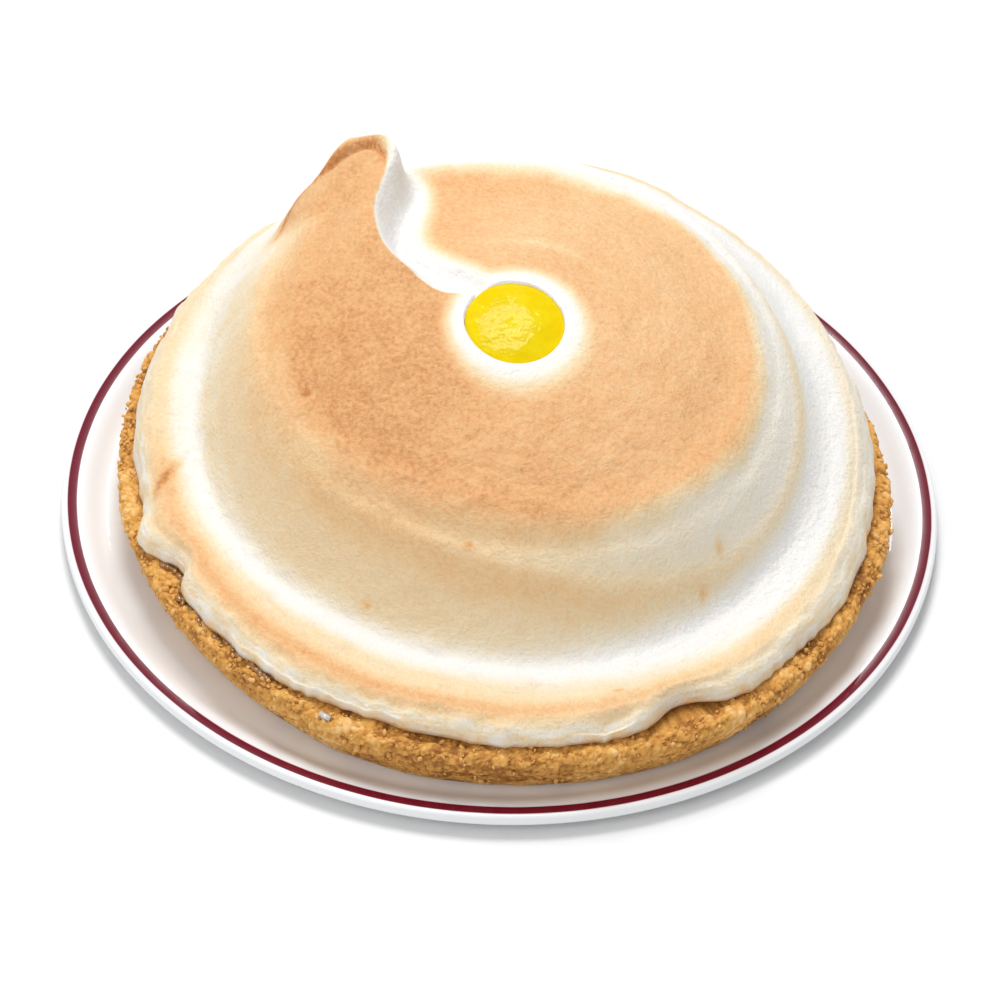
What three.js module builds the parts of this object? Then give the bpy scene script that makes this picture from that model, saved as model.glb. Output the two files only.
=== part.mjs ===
// Lemon meringue pie on its serving plate.
// Millimetres, +Z up, origin at the middle of the circle that the plate's foot ring stands on.
// The front of the pie faces -Y. Angles run anticlockwise from +X, seen from above.
import * as THREE from 'three';
import { mergeVertices } from 'three/addons/utils/BufferGeometryUtils.js';

// Plate: a flat plate with a barely raised rim, a thick edge and a low foot ring.
const PLATE_RADIUS = 136.5;
const PLATE_WALL = 2.6;
const PLATE_EDGE = 4;
const PLATE_COLUMNS = 64;
const RIM_RISE = 3.2;
const RIM_RUN = 9;
const RIM_FLAT = 5;
const FOOT_RADIUS = 66;
const FOOT_WIDTH = 5;
const FOOT_HEIGHT = 1.6;
const WELL_TOP = FOOT_HEIGHT + PLATE_WALL;

// Crust: a pressed crumb case, flared towards its top, with a shallow seat for the meringue.
const PIE_CENTRE = new THREE.Vector2(0.4, -3.9);
const CRUST_RADIUS = 121.9;
const CRUST_BASE_RADIUS = 113.6;
const OVALNESS = 0.028;
const OVAL_ANGLE = -60;
const CRUST_HEIGHT = 19;
const CRUST_TOP = WELL_TOP + CRUST_HEIGHT;
const CRUST_COLUMNS = 96;
const SEAT_RADIUS = 107.5;
const SEAT_DEPTH = 6;
const SEAT_TOP = CRUST_TOP - SEAT_DEPTH;
const CLEARANCE = 0.3;

// Meringue: one spatula swirl that starts at the curd, with its crest pulled up into a curled peak.
const SWIRL_CENTRE = new THREE.Vector2(2.2, -0.8);
const MERINGUE_RADIUS = 117;
const MERINGUE_TOP = 85.3;
const TOP_SLOPE = 0.17;
const MERINGUE_COLUMNS = 84;
const MERINGUE_ROWS = 33;
const COLUMN_CROWDING = 0.45;
const EDGE_CROWDING = 1.35;
const PEAK_ANGLE = 135;
const BAND_REACH = 0.94;
const EDGE_HEIGHT = 1.2;
const FLANK_LENGTH = 27;
const CLIFF_WIDTH = 3.6;
const GROOVE_DEPTH = 3.5;
const FADE_LIFT = 6;
const LIP_HEIGHT = 4.5;
const LIP_WIDTH = 3.2;

// Lemon curd: a shallow pool in a round well at the start of the swirl.
const CURD_RADIUS = 15;
const CURD_DEPTH = 5;
const CURD_CROWN = 2.2;
const CURD_COLUMNS = 36;
const CURD_ROWS = 5;

const radians = THREE.MathUtils.degToRad;

// Shortest turn between two angles in degrees, from -180 to 180.
function turn(angle, from) {
  return THREE.MathUtils.euclideanModulo(angle - from + 180, 360) - 180;
}

// A smooth hump of height 1 around a middle value.
function hump(distance, width) {
  return Math.exp(-((distance / width) ** 2));
}

// A size that is largest towards one angle and smallest on the opposite side.
function leaning(mean, amount, towards, angle) {
  return mean + amount * Math.cos(radians(angle - towards));
}

// A closed skin spun from a profile, whose points are then moved by a function of (row, angle).
function spunSkin(rows, columns, place) {
  const guide = Array.from({ length: rows }, (_, row) => {
    const onAxis = row === 0 || row === rows - 1;
    return new THREE.Vector2(onAxis ? 0 : 1, -row);
  });
  const skin = new THREE.LatheGeometry(guide, columns);
  const position = skin.attributes.position;
  const point = new THREE.Vector3();
  for (let column = 0; column <= columns; column += 1) {
    for (let row = 0; row < rows; row += 1) {
      place(row, (((columns - column) % columns) / columns) * 360, point);
      position.setXYZ(column * rows + row, point.x, point.y, point.z);
    }
  }
  skin.deleteAttribute('normal');
  skin.deleteAttribute('uv');
  return mergeVertices(skin, 1e-4);
}

function namedPiece(name, geometry, colour, roughness) {
  geometry.computeVertexNormals();
  const material = new THREE.MeshStandardMaterial({ color: colour, roughness, metalness: 0 });
  const piece = new THREE.Mesh(geometry, material);
  piece.name = name;
  return piece;
}

// Plate section, from the middle of the well over the rim and back under the foot.
function plateProfile() {
  const flatStart = PLATE_RADIUS - RIM_FLAT;
  const wellRadius = flatStart - RIM_RUN;
  const lipTop = WELL_TOP + RIM_RISE;
  return [
    [0, WELL_TOP],
    [wellRadius, WELL_TOP],
    [wellRadius + RIM_RUN * 0.35, WELL_TOP + RIM_RISE * 0.3],
    [wellRadius + RIM_RUN * 0.7, WELL_TOP + RIM_RISE * 0.8],
    [flatStart, lipTop - 0.1],
    [PLATE_RADIUS - 1, lipTop],
    [PLATE_RADIUS, lipTop - 1.1],
    [PLATE_RADIUS, lipTop - PLATE_EDGE + 1],
    [PLATE_RADIUS - 1.4, lipTop - PLATE_EDGE],
    [wellRadius, FOOT_HEIGHT],
    [FOOT_RADIUS, FOOT_HEIGHT],
    [FOOT_RADIUS, 0],
    [FOOT_RADIUS - FOOT_WIDTH, 0],
    [FOOT_RADIUS - FOOT_WIDTH, FOOT_HEIGHT],
    [0, FOOT_HEIGHT],
  ];
}

function makePlate() {
  const profile = plateProfile();
  const skin = spunSkin(profile.length, PLATE_COLUMNS, (row, angle, point) => {
    const [radius, height] = profile[row];
    const way = radians(angle);
    point.set(radius * Math.cos(way), radius * Math.sin(way), height);
  });
  return namedPiece('plate', skin, 0xe9e5e2, 0.18);
}

// How much the pie is pressed out of round: longest towards the oval angle.
function oval(angle) {
  return 1 + OVALNESS * Math.cos(2 * radians(angle - OVAL_ANGLE));
}

// Uneven pressing of the crumb case: long swells and short crumbly lumps.
function crustSwell(angle) {
  const way = radians(angle);
  return 0.7 * Math.sin(3 * way + 0.8) + 0.5 * Math.sin(7 * way + 2.1);
}

function crustLumps(angle, level) {
  const way = radians(angle);
  return 0.45 * Math.sin(23 * way + 4 * level) + 0.35 * Math.sin(37 * way - 7 * level);
}

// Crust section: flat base, flared wall, rounded crumbly rim, then the flat seat.
function crustProfile() {
  const flare = CRUST_RADIUS - CRUST_BASE_RADIUS;
  return [
    [0, SEAT_TOP, 0],
    [SEAT_RADIUS + CLEARANCE, SEAT_TOP, 0],
    [SEAT_RADIUS + CLEARANCE, CRUST_TOP - 0.8, 0],
    [CRUST_RADIUS - 6, CRUST_TOP - 0.4, 0.3],
    [CRUST_RADIUS - 2.2, CRUST_TOP - 0.4, 1],
    [CRUST_RADIUS - 0.2, CRUST_TOP - 2.6, 1],
    [CRUST_RADIUS - flare * 0.2, WELL_TOP + CRUST_HEIGHT * 0.6, 1],
    [CRUST_RADIUS - flare * 0.6, WELL_TOP + CRUST_HEIGHT * 0.28, 1],
    [CRUST_BASE_RADIUS, WELL_TOP, 0.4],
    [0, WELL_TOP, 0],
  ];
}

function makeCrust() {
  const profile = crustProfile();
  const skin = spunSkin(profile.length, CRUST_COLUMNS, (row, angle, point) => {
    const [radius, height, crumble] = profile[row];
    const way = radians(angle);
    const rough = crumble * (crustSwell(angle) + crustLumps(angle, row));
    const reach = (radius + rough) * oval(angle);
    const chipped = row === 4 ? 0.6 * crustLumps(angle, 2) : 0;
    point.set(PIE_CENTRE.x + reach * Math.cos(way), PIE_CENTRE.y + reach * Math.sin(way), height + chipped);
  });
  return namedPiece('crust', skin, 0xd19a50, 0.9);
}

// Crest of the swirl: from the curd, back and up to the peak, round its tip, then down the left fold.
const CREST = new THREE.CatmullRomCurve3([
  new THREE.Vector3(-15, 9.5, 87.5),
  new THREE.Vector3(-21, 10.6, 88.2),
  new THREE.Vector3(-28, 14.2, 89.7),
  new THREE.Vector3(-34.4, 18.7, 91.6),
  new THREE.Vector3(-39.6, 24.3, 93.2),
  new THREE.Vector3(-42.4, 32.8, 94.7),
  new THREE.Vector3(-42.9, 40, 95.6),
  new THREE.Vector3(-41.7, 47.7, 96.2),
  new THREE.Vector3(-40, 55, 96.8),
  new THREE.Vector3(-40.4, 61.2, 97.2),
  new THREE.Vector3(-43.7, 64.7, 96.2),
  new THREE.Vector3(-48.4, 65.2, 94.7),
  new THREE.Vector3(-53, 64, 91.9),
  new THREE.Vector3(-57.8, 62, 87.7),
  new THREE.Vector3(-62.4, 60.2, 83.7),
  new THREE.Vector3(-66.6, 58, 79.2),
  new THREE.Vector3(-70, 54.5, 74.7),
  new THREE.Vector3(-72.8, 49.5, 70.7),
  new THREE.Vector3(-76, 43.5, 66.7),
  new THREE.Vector3(-81, 32, 61.2),
  new THREE.Vector3(-86, 16, 54.2),
  new THREE.Vector3(-90, -2, 47.2),
], false, 'catmullrom').getPoints(90);

// Outline of the meringue's foot, with the hooked tongue, the hollow beside it and a pulled-back bite.
function edgeWander(angle) {
  const way = radians(angle);
  const waves = 0.7 * Math.sin(5 * way + 1.2) + 0.5 * Math.sin(11 * way);
  const tongue = 3 * hump(turn(angle, -162), 4.5);
  const hollow = -3.5 * hump(turn(angle, -153), 3.5);
  const bite = -7.5 * hump(turn(angle, -60), 4.6) ** 0.6;
  return waves + tongue + hollow + bite;
}

// Plan position at a share of the way from the swirl's centre to the meringue's foot.
function planPoint(reach, angle, out) {
  const way = radians(angle);
  const radius = (MERINGUE_RADIUS + edgeWander(angle) * reach ** 9) * oval(angle);
  const footX = PIE_CENTRE.x + radius * Math.cos(way);
  const footY = PIE_CENTRE.y + radius * Math.sin(way);
  return out.set(
    THREE.MathUtils.lerp(SWIRL_CENTRE.x, footX, reach),
    THREE.MathUtils.lerp(SWIRL_CENTRE.y, footY, reach),
  );
}

// How far out the edge of the browned cap lies.
function capReach(angle) {
  return 0.7 - 0.16 * hump(turn(angle, -100), 62);
}

// The heights that a slice of the dome passes through, with their reach.
function domeKnots(angle) {
  const lean = TOP_SLOPE * MERINGUE_RADIUS * Math.sin(radians(angle));
  const capHeight = leaning(69.7, 8, 95, angle);
  const troughReach = 0.87 - 0.12 * hump(turn(angle, -97), 70);
  const troughHeight = leaning(44.2, 17, 93, angle) - 9 * hump(turn(angle, -170), 35);
  const backHeight = 24 * hump(turn(angle, 80), 62) + 7 * hump(turn(angle, 22), 25);
  const bandHeight = 31.2 + backHeight + 8 * hump(turn(angle, 165), 28);
  return [
    [-0.13, MERINGUE_TOP - 1 - 0.13 * lean],
    [0.13, MERINGUE_TOP + 0.13 * lean],
    [capReach(angle), capHeight],
    [troughReach, troughHeight],
    [BAND_REACH, bandHeight],
    [1, CRUST_TOP + EDGE_HEIGHT + CLEARANCE],
  ];
}

// Height of a smooth line through the knots (a cubic with limited slopes, so it never overshoots).
function throughKnots(knots, reach) {
  let last = 1;
  while (last < knots.length - 1 && knots[last][0] < reach) last += 1;
  const slopeAt = (index) => {
    if (index === 0 || index === knots.length - 1) return 0;
    const before = (knots[index][1] - knots[index - 1][1]) / (knots[index][0] - knots[index - 1][0]);
    const after = (knots[index + 1][1] - knots[index][1]) / (knots[index + 1][0] - knots[index][0]);
    if (before * after <= 0) return 0;
    return (2 * before * after) / (before + after);
  };
  const [startReach, startHeight] = knots[last - 1];
  const [endReach, endHeight] = knots[last];
  const run = endReach - startReach;
  const t = (reach - startReach) / run;
  const blend = t * t * (3 - 2 * t);
  const bend = slopeAt(last - 1) * run * t * (1 - t) ** 2 - slopeAt(last) * run * t * t * (1 - t);
  const isLast = last === knots.length - 1;
  if (isLast) return endHeight + (startHeight - endHeight) * Math.sqrt(Math.max(0, 1 - t * t));
  return startHeight + (endHeight - startHeight) * blend + bend;
}

// Dome with the edge of its browned cap and the finer second ridge below it.
function domeHeight(reach, angle) {
  const past = reach - capReach(angle);
  const gap = 0.045 + 0.07 * hump(turn(angle, -30), 55);
  const shown = 1 - hump(turn(angle, 175), 62);
  const shoulder = 2.2 * hump(past + 0.03, 0.045);
  const groove = -1.6 * hump(past - 0.022, 0.02);
  const secondRidge = 2 * hump(past - gap, 0.022);
  return throughKnots(domeKnots(angle), reach) + shown * (shoulder + groove + secondRidge);
}

// Where a point lies against the crest: distance (positive on the browned flank), lift and place along it.
function crestReading(x, y, lifts) {
  let nearest = Infinity;
  let side = 1;
  let along = 0;
  let ownLift = 0;
  let weightSum = 0;
  let liftSum = 0;
  let closeness = 0;
  for (let index = 0; index < CREST.length - 1; index += 1) {
    const a = CREST[index];
    const b = CREST[index + 1];
    const dx = b.x - a.x;
    const dy = b.y - a.y;
    const share = THREE.MathUtils.clamp(((x - a.x) * dx + (y - a.y) * dy) / (dx * dx + dy * dy), 0, 1);
    const offX = x - a.x - share * dx;
    const offY = y - a.y - share * dy;
    const squared = offX * offX + offY * offY;
    const weight = 1 / (squared + 4) ** 1.5;
    weightSum += weight;
    liftSum += weight * lifts[index];
    closeness += Math.hypot(dx, dy) / (squared + 0.01) ** 3;
    if (squared < nearest) {
      nearest = squared;
      side = dx * offY - dy * offX > 0 ? 1 : -1;
      along = (index + share) / (CREST.length - 1);
      ownLift = lifts[index];
    }
  }
  const fade = THREE.MathUtils.smoothstep(ownLift, 0, FADE_LIFT);
  const sharp = Math.sqrt(nearest);
  const soft = (closeness / 1.178) ** -0.2;
  const length = THREE.MathUtils.lerp(sharp, soft, THREE.MathUtils.smoothstep(sharp, 1, 4));
  return { distance: side * length, lift: (fade * liftSum) / weightSum, along };
}

// Browned flank on one side of the crest; on the other its curled lip, a cliff and a white groove.
function crestShape(reading) {
  const { distance, lift, along } = reading;
  const { smoothstep } = THREE.MathUtils;
  const curl = smoothstep(along, 0.36, 0.44) * (1 - smoothstep(along, 0.55, 0.68));
  if (distance >= 0) {
    const crease = -1.5 * curl * hump(distance - 0.7, 1);
    return lift * Math.exp(-((distance / FLANK_LENGTH) ** 1.5)) + crease;
  }
  const out = -distance;
  const beyond = Math.max(0, out - LIP_WIDTH * curl);
  const fall = lift * hump(beyond, CLIFF_WIDTH + 0.12 * lift);
  const rolled = Math.sin(Math.PI * Math.min(1, out / (2 * LIP_WIDTH))) ** 0.8;
  const groove = -GROOVE_DEPTH * hump(out - 7, 4.5) * (1 - smoothstep(along, 0.42, 0.56));
  return fall + LIP_HEIGHT * curl * rolled + groove;
}

function makeMeringue() {
  const rimReach = 0.137;
  const spot = new THREE.Vector2();
  const crestAngle = (x, y) => THREE.MathUtils.radToDeg(Math.atan2(y - PIE_CENTRE.y, x - PIE_CENTRE.x));
  const crestReach = (x, y) => {
    const length = Math.hypot(x - SWIRL_CENTRE.x, y - SWIRL_CENTRE.y);
    planPoint(1, crestAngle(x, y), spot);
    return length / Math.hypot(spot.x - SWIRL_CENTRE.x, spot.y - SWIRL_CENTRE.y);
  };
  const lifts = CREST.map((p, index) => {
    const above = p.z - domeHeight(crestReach(p.x, p.y), crestAngle(p.x, p.y));
    return Math.max(0, above) * (1 - THREE.MathUtils.smoothstep(index / CREST.length, 0.72, 0.95));
  });
  const floor = MERINGUE_TOP - CURD_DEPTH;
  const foot = CRUST_TOP + CLEARANCE;
  const bottom = [[1, foot], [0, foot], [0, SEAT_TOP], [0, SEAT_TOP]];
  const topRows = MERINGUE_ROWS + 2;
  const rows = topRows + bottom.length;
  const skin = spunSkin(rows, MERINGUE_COLUMNS, (row, evenAngle, point) => {
    const angle = evenAngle - THREE.MathUtils.radToDeg(COLUMN_CROWDING)
      * Math.sin(radians(evenAngle - PEAK_ANGLE));
    const way = radians(angle);
    if (row < 2) {
      const radius = row * (CURD_RADIUS + CLEARANCE);
      point.set(SWIRL_CENTRE.x + radius * Math.cos(way), SWIRL_CENTRE.y + radius * Math.sin(way), floor);
    } else if (row < topRows) {
      const share = 1 - (1 - (row - 2) / (MERINGUE_ROWS - 1)) ** EDGE_CROWDING;
      const reach = THREE.MathUtils.lerp(rimReach, 1, share);
      planPoint(reach, angle, spot);
      const reading = crestReading(spot.x, spot.y, lifts);
      point.set(spot.x, spot.y, domeHeight(reach, angle) + crestShape(reading));
    } else if (row === topRows) {
      planPoint(1, angle, spot);
      point.set(spot.x, spot.y, foot);
    } else {
      const radius = row === rows - 1 ? 0 : SEAT_RADIUS - CLEARANCE;
      const height = row === topRows + 1 ? foot : SEAT_TOP;
      const round = radius * oval(angle);
      point.set(PIE_CENTRE.x + round * Math.cos(way), PIE_CENTRE.y + round * Math.sin(way), height);
    }
  });
  return namedPiece('meringue', skin, 0xf0cfa0, 0.65);
}

// Flat-bottomed lens of curd with a soft round edge.
function makeCurd() {
  const floor = MERINGUE_TOP - CURD_DEPTH;
  const rows = CURD_ROWS + 3;
  const skin = spunSkin(rows, CURD_COLUMNS, (row, angle, point) => {
    const way = radians(angle);
    const share = Math.min(row / CURD_ROWS, 1);
    const radius = row === rows - 1 ? 0 : CURD_RADIUS * share;
    const lean = TOP_SLOPE * radius * Math.sin(way);
    const crown = floor + CURD_DEPTH - 0.6 + lean + CURD_CROWN * (1 - share ** 2.4);
    const height = row > CURD_ROWS ? floor : crown;
    point.set(SWIRL_CENTRE.x + radius * Math.cos(way), SWIRL_CENTRE.y + radius * Math.sin(way), height);
  });
  return namedPiece('lemon_curd', skin, 0xefd303, 0.08);
}

const pie = new THREE.Group();
pie.name = 'lemon_meringue_pie';
pie.add(makePlate());
pie.add(makeCrust());
pie.add(makeMeringue());
pie.add(makeCurd());

export default pie;
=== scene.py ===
import itertools
import math
import random

import bmesh
import bpy
import numpy as np
from mathutils import Euler, Matrix, Vector, noise


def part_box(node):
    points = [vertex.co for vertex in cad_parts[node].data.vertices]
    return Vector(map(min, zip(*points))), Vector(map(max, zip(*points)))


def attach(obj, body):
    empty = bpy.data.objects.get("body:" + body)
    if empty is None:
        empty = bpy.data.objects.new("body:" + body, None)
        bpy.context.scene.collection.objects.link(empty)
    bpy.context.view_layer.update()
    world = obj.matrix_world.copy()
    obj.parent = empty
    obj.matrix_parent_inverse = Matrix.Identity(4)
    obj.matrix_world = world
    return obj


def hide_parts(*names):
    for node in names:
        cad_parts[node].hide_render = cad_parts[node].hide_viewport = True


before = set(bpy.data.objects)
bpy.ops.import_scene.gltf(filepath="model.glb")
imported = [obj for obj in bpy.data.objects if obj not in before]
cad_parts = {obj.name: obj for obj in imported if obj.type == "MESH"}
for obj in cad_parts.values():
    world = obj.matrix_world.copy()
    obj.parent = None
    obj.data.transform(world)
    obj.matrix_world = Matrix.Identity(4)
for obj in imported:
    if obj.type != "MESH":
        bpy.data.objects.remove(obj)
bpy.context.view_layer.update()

# ---------------------------------------------------------------------------------------------
# Plate. A white glazed porcelain plate, nearly flat, with a barely raised rim and a thick edge, made
# in one piece on a low foot ring. One dark red line is painted under the glaze near the edge.
# ---------------------------------------------------------------------------------------------
MM = 0.001
PLATE_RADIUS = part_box("plate")[1].x / MM
LIP_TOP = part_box("plate")[1].z / MM
WELL_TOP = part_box("crust")[0].z / MM
FOOT_HEIGHT = 1.6
FOOT_RADIUS = 66
FOOT_WIDTH = 5
EDGE_THICKNESS = 4.0
RIM_FLAT = 5
RIM_RUN = 9
LINE_RADIUS = 133.0
LINE_WIDTH = 2.9
PORCELAIN = (0.83, 0.845, 0.86, 1)
POOLED_GLAZE = (0.815, 0.825, 0.838, 1)
LINE_RED = (0.12, 0.002, 0.012, 1)
THIN_RED = (0.17, 0.004, 0.022, 1)
RED_BLEED = (0.62, 0.25, 0.3, 1)


def mesh_piece(name, bm):
    """Turns a finished bmesh into a smooth-shaded object that stands at the origin."""
    mesh = bpy.data.meshes.new(name)
    bm.to_mesh(mesh)
    bm.free()
    for face in mesh.polygons:
        face.use_smooth = True
    piece = bpy.data.objects.new(name, mesh)
    bpy.context.scene.collection.objects.link(piece)
    return piece


def fill_socket(tree, socket, value):
    if isinstance(value, bpy.types.NodeSocket):
        tree.links.new(value, socket)
    else:
        socket.default_value = value


def add_node(tree, kind, settings=None, **inputs):
    """Adds a shader node; its inputs are set or linked by name, with _ for a space."""
    made = tree.nodes.new("ShaderNode" + kind)
    for setting, value in (settings or {}).items():
        setattr(made, setting, value)
    for key, value in inputs.items():
        name = key.replace("_", " ")
        socket = made.inputs[int(name[3:])] if name.startswith("in ") else made.inputs[name]
        fill_socket(tree, socket, value)
    return made


def start_finish(name, **constants):
    """A material with one Principled shader, whose constant sockets are set here."""
    finish = bpy.data.materials.new(name)
    finish.use_nodes = True
    shader = finish.node_tree.nodes["Principled BSDF"]
    for key, value in constants.items():
        shader.inputs[key.replace("_", " ")].default_value = value
    place = add_node(finish.node_tree, "TexCoord").outputs["Object"]
    return finish, finish.node_tree, shader, place


def maths(tree, operation, first, second=0.0, clamp=False):
    settings = {"operation": operation, "use_clamp": clamp}
    return add_node(tree, "Math", settings, in_0=first, in_1=second).outputs[0]


def fade(tree, value, start, end):
    """0 at start, 1 at end, smooth between; start may be above end."""
    settings = {"interpolation_type": "SMOOTHSTEP"}
    made = add_node(tree, "MapRange", settings, Value=value, From_Min=start, From_Max=end)
    return made.outputs["Result"]


def mixed(tree, share, first, second):
    made = add_node(tree, "Mix", {"data_type": "RGBA"}, in_0=share, in_6=first, in_7=second)
    return made.outputs[2]


def grain(tree, place, size, detail=3.0, roughness=0.55):
    """Noise whose lumps are about size metres across, from 0 to 1."""
    made = add_node(tree, "TexNoise", Vector=place, Scale=1 / size, Detail=detail, Roughness=roughness)
    return made.outputs["Fac"]


def tone_ramp(tree, value, stops):
    """Colours along a value: stops are (place, (r, g, b)) in rising order."""
    made = add_node(tree, "ValToRGB", Fac=value)
    ramp = made.color_ramp
    while len(ramp.elements) < len(stops):
        ramp.elements.new(1.0)
    for element, (spot, tone) in zip(ramp.elements, stops):
        element.position = spot
        element.color = (*tone, 1)
    return made.outputs["Color"]


def raised(tree, height, depth, below=None):
    """Bump whose full range is depth metres; it can stand on another bump."""
    made = add_node(tree, "Bump", Height=height, Distance=depth, Strength=1.0)
    if below is not None:
        tree.links.new(below, made.inputs["Normal"])
    return made.outputs["Normal"]


def plate_section():
    """Half section from the middle of the well, over the rim and back under the foot, in mm."""
    flat_start = PLATE_RADIUS - RIM_FLAT
    well = flat_start - RIM_RUN
    rise = LIP_TOP - WELL_TOP
    under = LIP_TOP - EDGE_THICKNESS
    section = [(0, WELL_TOP), (well * 0.5, WELL_TOP), (well - 2, WELL_TOP), (well, WELL_TOP)]
    for share, lift in ((0.18, 0.1), (0.35, 0.3), (0.52, 0.56), (0.7, 0.8), (0.85, 0.92)):
        section.append((well + RIM_RUN * share, WELL_TOP + rise * lift))
    section += [
        (flat_start, LIP_TOP - 0.12), (PLATE_RADIUS - 1.5, LIP_TOP), (PLATE_RADIUS - 0.4, LIP_TOP - 0.35),
        (PLATE_RADIUS, LIP_TOP - 1.3), (PLATE_RADIUS, under + 1.2), (PLATE_RADIUS - 0.4, under + 0.4),
        (PLATE_RADIUS - 1.4, under), (well + 4, FOOT_HEIGHT + 0.7), (well - 4, FOOT_HEIGHT),
        (FOOT_RADIUS + 0.6, FOOT_HEIGHT), (FOOT_RADIUS, FOOT_HEIGHT - 0.3), (FOOT_RADIUS, 0.4),
        (FOOT_RADIUS - 0.4, 0), (FOOT_RADIUS - FOOT_WIDTH + 0.4, 0), (FOOT_RADIUS - FOOT_WIDTH, 0.4),
        (FOOT_RADIUS - FOOT_WIDTH, FOOT_HEIGHT - 0.3), (FOOT_RADIUS - FOOT_WIDTH - 0.6, FOOT_HEIGHT),
        (0, FOOT_HEIGHT),
    ]
    return section


def make_plate():
    bm = bmesh.new()
    line = [bm.verts.new((radius * MM, 0, height * MM)) for radius, height in plate_section()]
    edges = [bm.edges.new(pair) for pair in zip(line, line[1:])]
    bmesh.ops.spin(bm, geom=line + edges, cent=(0, 0, 0), axis=(0, 0, 1), angle=math.tau,
                   steps=72, use_merge=True)
    bmesh.ops.remove_doubles(bm, verts=bm.verts, dist=1e-6)
    bmesh.ops.recalc_face_normals(bm, faces=bm.faces)
    plate = mesh_piece("round_plate", bm)
    rounding = plate.modifiers.new("rounding", "SUBSURF")
    rounding.levels = 2
    rounding.render_levels = 2
    return plate


def glaze_finish():
    """Clear glaze over white body, with the painted line and the faint pooling of a real glaze."""
    finish, tree, shader, place = start_finish(
        "porcelain_glaze", Roughness=0.18, IOR=1.45, Specular_IOR_Level=0.35)
    axes = add_node(tree, "SeparateXYZ", Vector=place)
    across = add_node(tree, "CombineXYZ", X=axes.outputs["X"], Y=axes.outputs["Y"])
    radius = add_node(tree, "VectorMath", {"operation": "LENGTH"}, in_0=across.outputs[0]).outputs["Value"]
    waver = maths(tree, "MULTIPLY", maths(tree, "SUBTRACT", grain(tree, place, 0.02), 0.5), 0.25 * MM)
    wavered = maths(tree, "ADD", radius, waver)
    offset = maths(tree, "ABSOLUTE", maths(tree, "SUBTRACT", wavered, LINE_RADIUS * MM))
    half = LINE_WIDTH * MM / 2
    line = fade(tree, offset, half + 0.15 * MM, half - 0.15 * MM)
    bleed = maths(tree, "MULTIPLY", fade(tree, offset, half + 0.9 * MM, half - 0.1 * MM), 0.22)
    upper = fade(tree, axes.outputs["Z"], (WELL_TOP + 1) * MM, (WELL_TOP + 2) * MM)
    thickness = maths(tree, "MULTIPLY", grain(tree, place, 0.03), 0.5)
    pooled = mixed(tree, thickness, PORCELAIN, POOLED_GLAZE)
    tone = mixed(tree, maths(tree, "MULTIPLY", bleed, upper), pooled, RED_BLEED)
    paint = mixed(tree, grain(tree, place, 0.004), LINE_RED, THIN_RED)
    tone = mixed(tree, maths(tree, "MULTIPLY", line, upper), tone, paint)
    tree.links.new(tone, shader.inputs["Base Color"])
    ripple = raised(tree, grain(tree, place, 0.012, 2.0), 0.05 * MM)
    tree.links.new(ripple, shader.inputs["Normal"])
    return finish


plate = make_plate()
plate.data.materials.append(glaze_finish())
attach(plate, "root")
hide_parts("plate")

# ---------------------------------------------------------------------------------------------
# Crust. Biscuit crumb pressed by hand into a flared ring and baked golden: a solid case whose
# wall and rim are all coarse crumbs, with crevices between them darkened by painted shade and a chipped top
# edge.
# ---------------------------------------------------------------------------------------------
PIE_CENTRE = (0.4, -3.9)
CRUST_RADIUS = 121.9
CRUST_BASE_RADIUS = 113.6
OVALNESS = 0.028
OVAL_ANGLE = -60
CRUST_HEIGHT = 19.0
CRUST_TOP = WELL_TOP + CRUST_HEIGHT
CRUST_COLUMNS = 1300
SEAT_RADIUS = 107.5
SEAT_DEPTH = 6.0
SEAT_TOP = CRUST_TOP - SEAT_DEPTH
CRUMB_SIZE = 1.9
FLAKE_SIZE = 5.5


def spun_guide(rows, columns):
    """A closed skin rolled up from a grid, whose points tell their row (-z) and their angle."""
    bm = bmesh.new()
    bmesh.ops.create_grid(bm, x_segments=columns, y_segments=rows - 1, size=0.5)
    for vert in bm.verts:
        row = round((0.5 - vert.co.y) * (rows - 1))
        way = (vert.co.x + 0.5) * math.tau
        ring = float(0 < row < rows - 1)
        vert.co = (ring * math.cos(way), ring * math.sin(way), -row)
    bmesh.ops.remove_doubles(bm, verts=bm.verts, dist=1e-5)
    bmesh.ops.recalc_face_normals(bm, faces=bm.faces)
    return bm


def point_array(mesh):
    flat = np.empty(len(mesh.vertices) * 3)
    mesh.vertices.foreach_get("co", flat)
    return flat.reshape(-1, 3)


def guide_rows(mesh):
    """Row number and angle in degrees of every point of a spun guide."""
    points = point_array(mesh)
    return np.rint(-points[:, 2]).astype(int), np.degrees(np.arctan2(points[:, 1], points[:, 0]))


def put_points(mesh, x, y, z):
    flat = np.stack([x, y, z], axis=1) * MM
    mesh.vertices.foreach_set("co", flat.ravel())
    mesh.update()


def paint_value(mesh, name, values):
    """A named number on every point, which a finish reads as an attribute."""
    layer = mesh.attributes.new(name, "FLOAT", "POINT")
    layer.data.foreach_set("value", np.clip(values, 0, 1).astype(np.float32))


def scattered(cells, seed):
    """A steady number from 0 to 1 for every whole-numbered cell of space."""
    mix = np.sin(cells[0] * 12.9898 + cells[1] * 78.233 + cells[2] * 37.719 + seed * 5.31) * 43758.5453
    return mix - np.floor(mix)


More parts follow.
